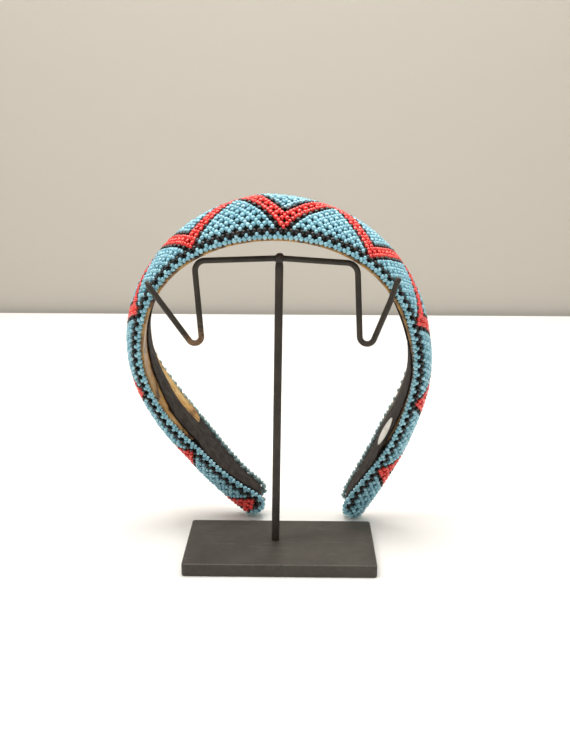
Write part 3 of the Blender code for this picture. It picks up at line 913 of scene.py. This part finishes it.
def grosgrain(name, rib_step, dark, middle, light):
    """Ribs across the cloth, fine threads along it, and worn lint on top."""
    material, tree, shader = material_nodes(name, middle, 0.9, Sheen_Weight=0.05, Sheen_Roughness=0.5,
                                            Specular_IOR_Level=0.2)
    rib = maths(tree, "SINE", maths(tree, "MULTIPLY", attribute(tree, "along"), 2 * math.pi / rib_step))
    thread = maths(tree, "SINE", maths(tree, "MULTIPLY", attribute(tree, "across"), 4 * math.pi / rib_step))
    weave = maths(tree, "MULTIPLY_ADD", thread, 0.35, rib)
    tone = maths(tree, "MULTIPLY_ADD", weave, 0.10, noise(tree, object_place(tree), 260.0, 5.0))
    paint(tree, shader, colour_ramp(tree, tone, [(0.3, *dark), (0.55, *middle), (0.8, *light)]),
          weave, 0.5, 0.0002)
    return material


ribbon_cloth = grosgrain("dark_ribbon", 0.0009, (0.018, 0.013, 0.010), (0.040, 0.030, 0.025),
                         (0.075, 0.058, 0.048))
facing_cloth = grosgrain("black_facing", 0.0007, (0.014, 0.011, 0.009), (0.030, 0.024, 0.020),
                         (0.060, 0.050, 0.042))


# %% Facings at the tips
def tip_full(along, inset, end):
    """Half the width between the rims, less an inset, narrowing to a round tip."""
    full = section(along, WIDTH) / 2 - inset
    return full * (0.35 + 0.65 * tip_factor(from_tip(along) - end, 6.0))


def end_rise(along):
    """How far the facing and the ribbon rise outward close to a tip, in mm."""
    return END_RISE * np.clip((RISE_START - from_tip(along)) / RISE_REACH, 0.0, 1.0) ** 2


def cut_size(along, half):
    """Width and length of the flat strip in metres, and its area from trapezoids."""
    area = float(np.sum((half[1:] + half[:-1]) * np.diff(along))) * MM * MM
    return (float(2 * half.max()) * MM, float(along[-1] - along[0]) * MM), area


def make_facing(name, first, last):
    """Thin panel over the padding's flat side from a tip to just past the hoop's end."""
    along = stations(first, last, 60, 5, 10)
    rise = end_rise(along)
    narrower = FACING_NARROWER * smooth((FACING_START - from_tip(along)) / FACING_REACH)
    half = tip_full(along, 2.1, 7.5) - narrower
    rings, places = rounded_strip(along, half, FACING_OUTER + rise, FACING_INNER + rise, corner=0.35,
                                  shift=FACING_SHIFT - narrower)
    return closed_tube(name, rings, facing_cloth, **places), *cut_size(along, half)


facings = [make_facing("left_tip_facing", 7.5, HOOP_LEFT_END - 0.3),
           make_facing("right_tip_facing", BAND_LENGTH - HOOP_RIGHT_END + 0.3, BAND_LENGTH - 7.5)]
print("facings", [[round(v, 4) for v in flat] for _, flat, _ in facings])


# %% Ribbon piece
def ribbon_line(along):
    """Outer face, thickness, sideways drift and width of the ribbon along the rim."""
    left = (along - HOOP_LEFT_END) / RIBBON_RAMP
    right = (BAND_LENGTH - HOOP_RIGHT_END - along) / RIBBON_RAMP
    on_hoop = smooth(np.minimum(left, right) + 1.0)
    outer = FACING_INNER - 0.1 + (HOOP_INNER - FACING_INNER) * on_hoop + end_rise(along)
    outer = outer - stands_off(along) - RIBBON_BULGE[2] * bell(along, *RIBBON_BULGE[:2])
    thick = RIBBON_THIN + (RIBBON_THICK - RIBBON_THIN) * on_hoop
    drift, wide = (natural_spline(RIBBON_ROWS[:, 0], RIBBON_ROWS[:, column], along) for column in (1, 2))
    return outer, thick, drift, wide


def make_ribbon():
    """One strip over the hoop and both facings, rounded in at its two ends."""
    along = stations(RIBBON_TIP_END, BAND_LENGTH - RIBBON_TIP_END, 330, 5, 12)
    outer, thick, drift, wide = ribbon_line(along)
    half = np.minimum(wide / 2, tip_full(along, RIBBON_INSET, RIBBON_TIP_END) - np.abs(drift) * 0.5)
    rings, places = rounded_strip(along, half, outer, outer - thick, corner=0.4, shift=drift)
    return closed_tube("woven_ribbon", rings, ribbon_cloth, **places), *cut_size(along, half)


ribbon, ribbon_flat, ribbon_area = make_ribbon()
print("ribbon cut from", [round(v, 4) for v in ribbon_flat], "m, area", round(ribbon_area, 5))


# %% Blank oval label
# place of the label's middle before the right tip and behind the ribbon's middle, and its
# half length, half width and thickness, in mm
LABEL_PLACE, LABEL_DRIFT = 57.0, -3.6
LABEL_LONG, LABEL_WIDE, LABEL_THICK = 8.5, 5.2, 0.5


def make_label():
    """Oval disc that follows the ribbon: rings of a cos/sin oval, its rim rounded over."""
    turn = np.linspace(0, 2 * math.pi, 48, endpoint=False)
    share = np.array((0.35, 0.7, 0.93, 1.0, 1.0, 0.93, 0.7, 0.35))[:, None]
    level = np.array((0.0, 0.0, 0.05, 0.2, 0.35, 0.5, 0.5, 0.5))[:, None]
    along = BAND_LENGTH - LABEL_PLACE + LABEL_LONG * share * np.cos(turn)
    outer, thick, drift, _ = ribbon_line(along)
    across = section(along, WIDTH) / 2 + drift + LABEL_DRIFT + LABEL_WIDE * share * np.sin(turn)
    face = outer - thick - 0.15 + seat(along, RIMS_OUT)
    rings = band_place(along, across, face - LABEL_THICK + level)
    material, tree, shader = material_nodes("label_satin", (0.80, 0.77, 0.71), 0.55, Sheen_Weight=0.2)
    stain = noise(tree, object_place(tree), 300.0, 4.0)
    paint(tree, shader, colour_ramp(tree, stain, [(0.35, 0.70, 0.67, 0.60), (0.6, 0.84, 0.82, 0.77)]),
          stain, 0.2, 0.00015)
    return closed_tube("blank_label", rings, material)


label = make_label()
print("label has", len(label.data.polygons), "faces")

# %% [markdown]
# ## Stand
#
# The stand is a steel plate with a post and one bent rod, welded together at the top and
# painted black a long time ago.  The paint has gone brown and dull, and it is rubbed to
# rust in the hooks.  Each rod is a circle carried along its route, with the rub stored on
# the mesh as an attribute that fades away from each hook.

# %% Route of the bent rod
PLATE = (95.0, 56.5, 6.5)
POST_FOOT = (-2.5, 2.3)
POST_TOP = (1.5, 143.9)
FRAME_LEAN = math.radians(-1.3)
FRAME_TURN = math.radians(-3.0)
POST_RADIUS, WIRE_RADIUS = 2.0, 1.45
# x and z from the post's foot, bend radius, and how far behind the frame's plane
WIRE_ROWS = np.array((
    (-63.1, 132.2, 0, -2), (-61.6, 129, 6, -1.6), (-35.9, 93.5, 3.3, 0), (-39.9, 142.2, 5, 0),
    (1.5, 144, 60, 0), (39.1, 141.9, 5.5, 0), (41.6, 89.5, 3.6, 0), (55.6, 125.4, 40, -2),
    (58.8, 135.8, 0, -3),
))


def frame_to_room(local):
    """From the frame's own upright place to where it leans back on the plate, in metres."""
    return (lean_and_turn(local, FRAME_LEAN, FRAME_TURN) + np.array((*POST_FOOT, PLATE[2]))) * MM


def rounded_route(rows, per_arc=15):
    """Corners turned into arcs: middle + start * cos(t) + ahead * sin(t) over the sweep."""
    corners = rows[:, (0, 3, 1)]
    parts = [corners[:1]]
    for place in range(1, len(rows) - 1):
        last = unit(corners[place - 1] - corners[place])
        following = unit(corners[place + 1] - corners[place])
        opening = math.acos(float(np.clip(last @ following, -1, 1)))
        radius = rows[place, 2]
        middle = corners[place] + unit(last + following) * radius / math.sin(opening / 2)
        start = corners[place] + last * radius / math.tan(opening / 2) - middle
        turn = np.linspace(0, math.pi - opening, per_arc)[:, None]
        parts.append(middle + start * np.cos(turn) - unit(last) * radius * np.sin(turn))
    parts.append(corners[-1:])
    return np.concatenate(parts)


def fill_route(route, step):
    """Points at an even step along a route."""
    run = np.concatenate([[0], np.cumsum(np.linalg.norm(np.diff(route, axis=0), axis=1))])
    even = np.unique(np.concatenate([run, np.arange(0, run[-1], step)]))
    even = even[np.concatenate([[True], np.diff(even) > 0.05])]
    return np.stack([np.interp(even, run, route[:, axis]) for axis in range(3)], axis=1), even


rod_route, rod_run = fill_route(rounded_route(WIRE_ROWS), 3.0)
print("bent rod is", round(float(rod_run[-1])), "mm long")


# %% Rods
def rod(name, route, run, radius, material, rub):
    """Circle of 20 points carried along a route, its ends bevelled, rub kept per point."""
    tangent = unit(np.gradient(route, axis=0))
    side = unit(np.cross(tangent, np.array((0.0, 1.0, 0.0))))
    deep = np.cross(side, tangent)
    ends = np.minimum(run, run[-1] - run)
    wide = radius * (0.72 + 0.28 * tip_factor(ends, 0.5))
    turn = np.linspace(0, 2 * math.pi, 20, endpoint=False)
    ring = np.cos(turn)[:, None] * side[:, None, :] + np.sin(turn)[:, None] * deep[:, None, :]
    rings = frame_to_room(route[:, None, :] + wide[:, None, None] * ring)
    return closed_tube(name, rings, material, rub=rub[:, None])


def worn_paint(name, dark, light, roughness):
    """Old paint: noise varies its colour, and where the rub is high it turns to rust."""
    material, tree, shader = material_nodes(name, dark, roughness, Specular_IOR_Level=0.35)
    place = object_place(tree)
    coat = colour_ramp(tree, noise(tree, place, 60.0, 6.0, Roughness=0.65), [(0.35, *dark), (0.65, *light)])
    grain = noise(tree, place, 700.0, 4.0)
    spread = maths(tree, "MULTIPLY_ADD", grain, 0.9, attribute(tree, "rub"))
    mask = colour_ramp(tree, spread, [(0.62, 0, 0, 0), (0.92, 1, 1, 1)])
    rust = colour_ramp(tree, grain, [(0.35, 0.085, 0.042, 0.020), (0.65, 0.22, 0.125, 0.065)])
    paint(tree, shader, mix(tree, mask, coat, rust), grain, 0.35, 0.00012)
    return material


rod_paint = worn_paint("rod_paint", (0.024, 0.019, 0.014), (0.052, 0.041, 0.030), 0.5)


def near_point(route, x, z, reach):
    """Bell that is 1 beside a point of the frame's plane."""
    return bell(np.hypot(route[:, 0] - x, route[:, 2] - z), 0.0, reach)


rub = 0.75 * near_point(rod_route, -38.0, 100.0, 9.0) + 0.30 * near_point(rod_route, 42.0, 95.5, 5.0)
bent_rod = rod("bent_rod", rod_route, rod_run, WIRE_RADIUS, rod_paint, rub)
post_line = np.array(((POST_TOP[0] / POST_TOP[1] * -4.0, 0.0, -4.0), (POST_TOP[0], 0.0, POST_TOP[1])))
post_route, post_run = fill_route(post_line, 4.0)
post_rub = 0.12 * near_point(post_route, 1.5, 140.0, 12.0)
post = rod("post", post_route, post_run, POST_RADIUS, rod_paint, post_rub)
print("rods", len(bent_rod.data.polygons), len(post.data.polygons))


# %% Weld
WELD_RADIUS = 2.6


def make_weld():
    """Lumpy ball of weld: a sphere whose radius ripples by a few hundredths."""
    pole = np.linspace(0, math.pi, 19)[1:-1, None]
    turn = np.linspace(0, 2 * math.pi, 32, endpoint=False)[None, :]
    ripple = 0.05 * np.sin(3 * turn + 1) * np.sin(2 * pole) + 0.04 * np.sin(5 * pole) * np.cos(2 * turn)
    radius = WELD_RADIUS * (1 + ripple)
    local = np.stack([radius * np.sin(pole) * np.cos(turn), radius * np.sin(pole) * np.sin(turn),
                      radius * np.cos(pole) * np.ones_like(turn)], axis=-1)
    rings = frame_to_room(local[::-1] + np.array((POST_TOP[0], 0.0, POST_TOP[1])))
    return closed_tube("weld", rings, rod_paint, rub=0.10)


weld = make_weld()

# %% [markdown]
# ## Plate
#
# The plate was cut from thick sheet, and its edges are slightly rounded and rubbed
# lighter.  It is a stack of rounded rectangles: each has a height and an inset, and the
# last one on top carries the flat face.  Long thin scratches come from a noise that is
# stretched along one direction.

# %% Plate piece
PLATE_EDGE, PLATE_CORNER, PLATE_FLAT = 0.8, 1.6, 2.0


def plate_paint():
    """Dull brown-black paint with scratches, rubbed lighter where the edge attribute is high."""
    material, tree, shader = material_nodes("plate_paint", (0.05, 0.044, 0.037), 0.55,
                                            Specular_IOR_Level=0.35)
    place = object_place(tree)
    coat = colour_ramp(tree, noise(tree, place, 38.0, 6.0, Roughness=0.7), [
        (0.30, 0.028, 0.023, 0.018), (0.52, 0.045, 0.039, 0.031), (0.72, 0.066, 0.058, 0.047)])
    turned = add_node(tree, "ShaderNodeMapping", Vector=place, Rotation=(0.0, 0.0, 0.5),
                      Scale=(1.0, 16.0, 1.0))
    scratch = noise(tree, turned.outputs[0], 55.0, 2.0)
    mark = colour_ramp(tree, scratch, [(0.66, 0, 0, 0), (0.72, 0.35, 0.35, 0.35)])
    grain = noise(tree, place, 500.0, 4.0)
    light = maths(tree, "MAXIMUM", maths(tree, "MULTIPLY", attribute(tree, "edge"), grain), mark)
    paint(tree, shader, mix(tree, light, coat, (0.16, 0.145, 0.12, 1.0)), grain, 0.3, 0.00012)
    return material


def make_plate():
    """Rounded rectangles from the bottom face, round the edge, to the top face."""
    turn, sx, sy = four_corners(7)
    bend = np.linspace(0, math.pi / 2, 6)
    rising, falling = PLATE_EDGE * (1 - np.sin(bend)), PLATE_EDGE * (1 - np.cos(bend))
    inset = np.concatenate([[PLATE_FLAT], rising, falling, [PLATE_FLAT]])
    height = np.concatenate([[0.0], falling, PLATE[2] - rising, [PLATE[2]]])
    corner = np.maximum(PLATE_CORNER - inset, 0.2)[:, None]
    x = sx * (PLATE[0] / 2 - inset[:, None] - corner) + corner * np.cos(turn)
    y = sy * (PLATE[1] / 2 - inset[:, None] - corner) + corner * np.sin(turn)
    rings = np.stack([x, y, np.broadcast_to(height[:, None], x.shape)], axis=-1) * MM
    edge = np.clip(1 - np.abs(inset - 0.25) / 0.35, 0, 1)
    return closed_tube("base_plate", rings, plate_paint(), edge=edge[:, None])


plate = make_plate()
print("plate has", len(plate.data.polygons), "faces")

# %% Ride and finish
for node, pieces in (
        ("bead_net", bead_pieces), ("padded_core", [padding]), ("hoop_lining", [hoop]),
        ("inner_ribbon", [ribbon, facings[0][0], facings[1][0]]), ("oval_label", [label]),
        ("stand_frame", [bent_rod, post, weld]), ("stand_base", [plate])):
    for piece in pieces:
        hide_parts(node)
        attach(piece, "root")
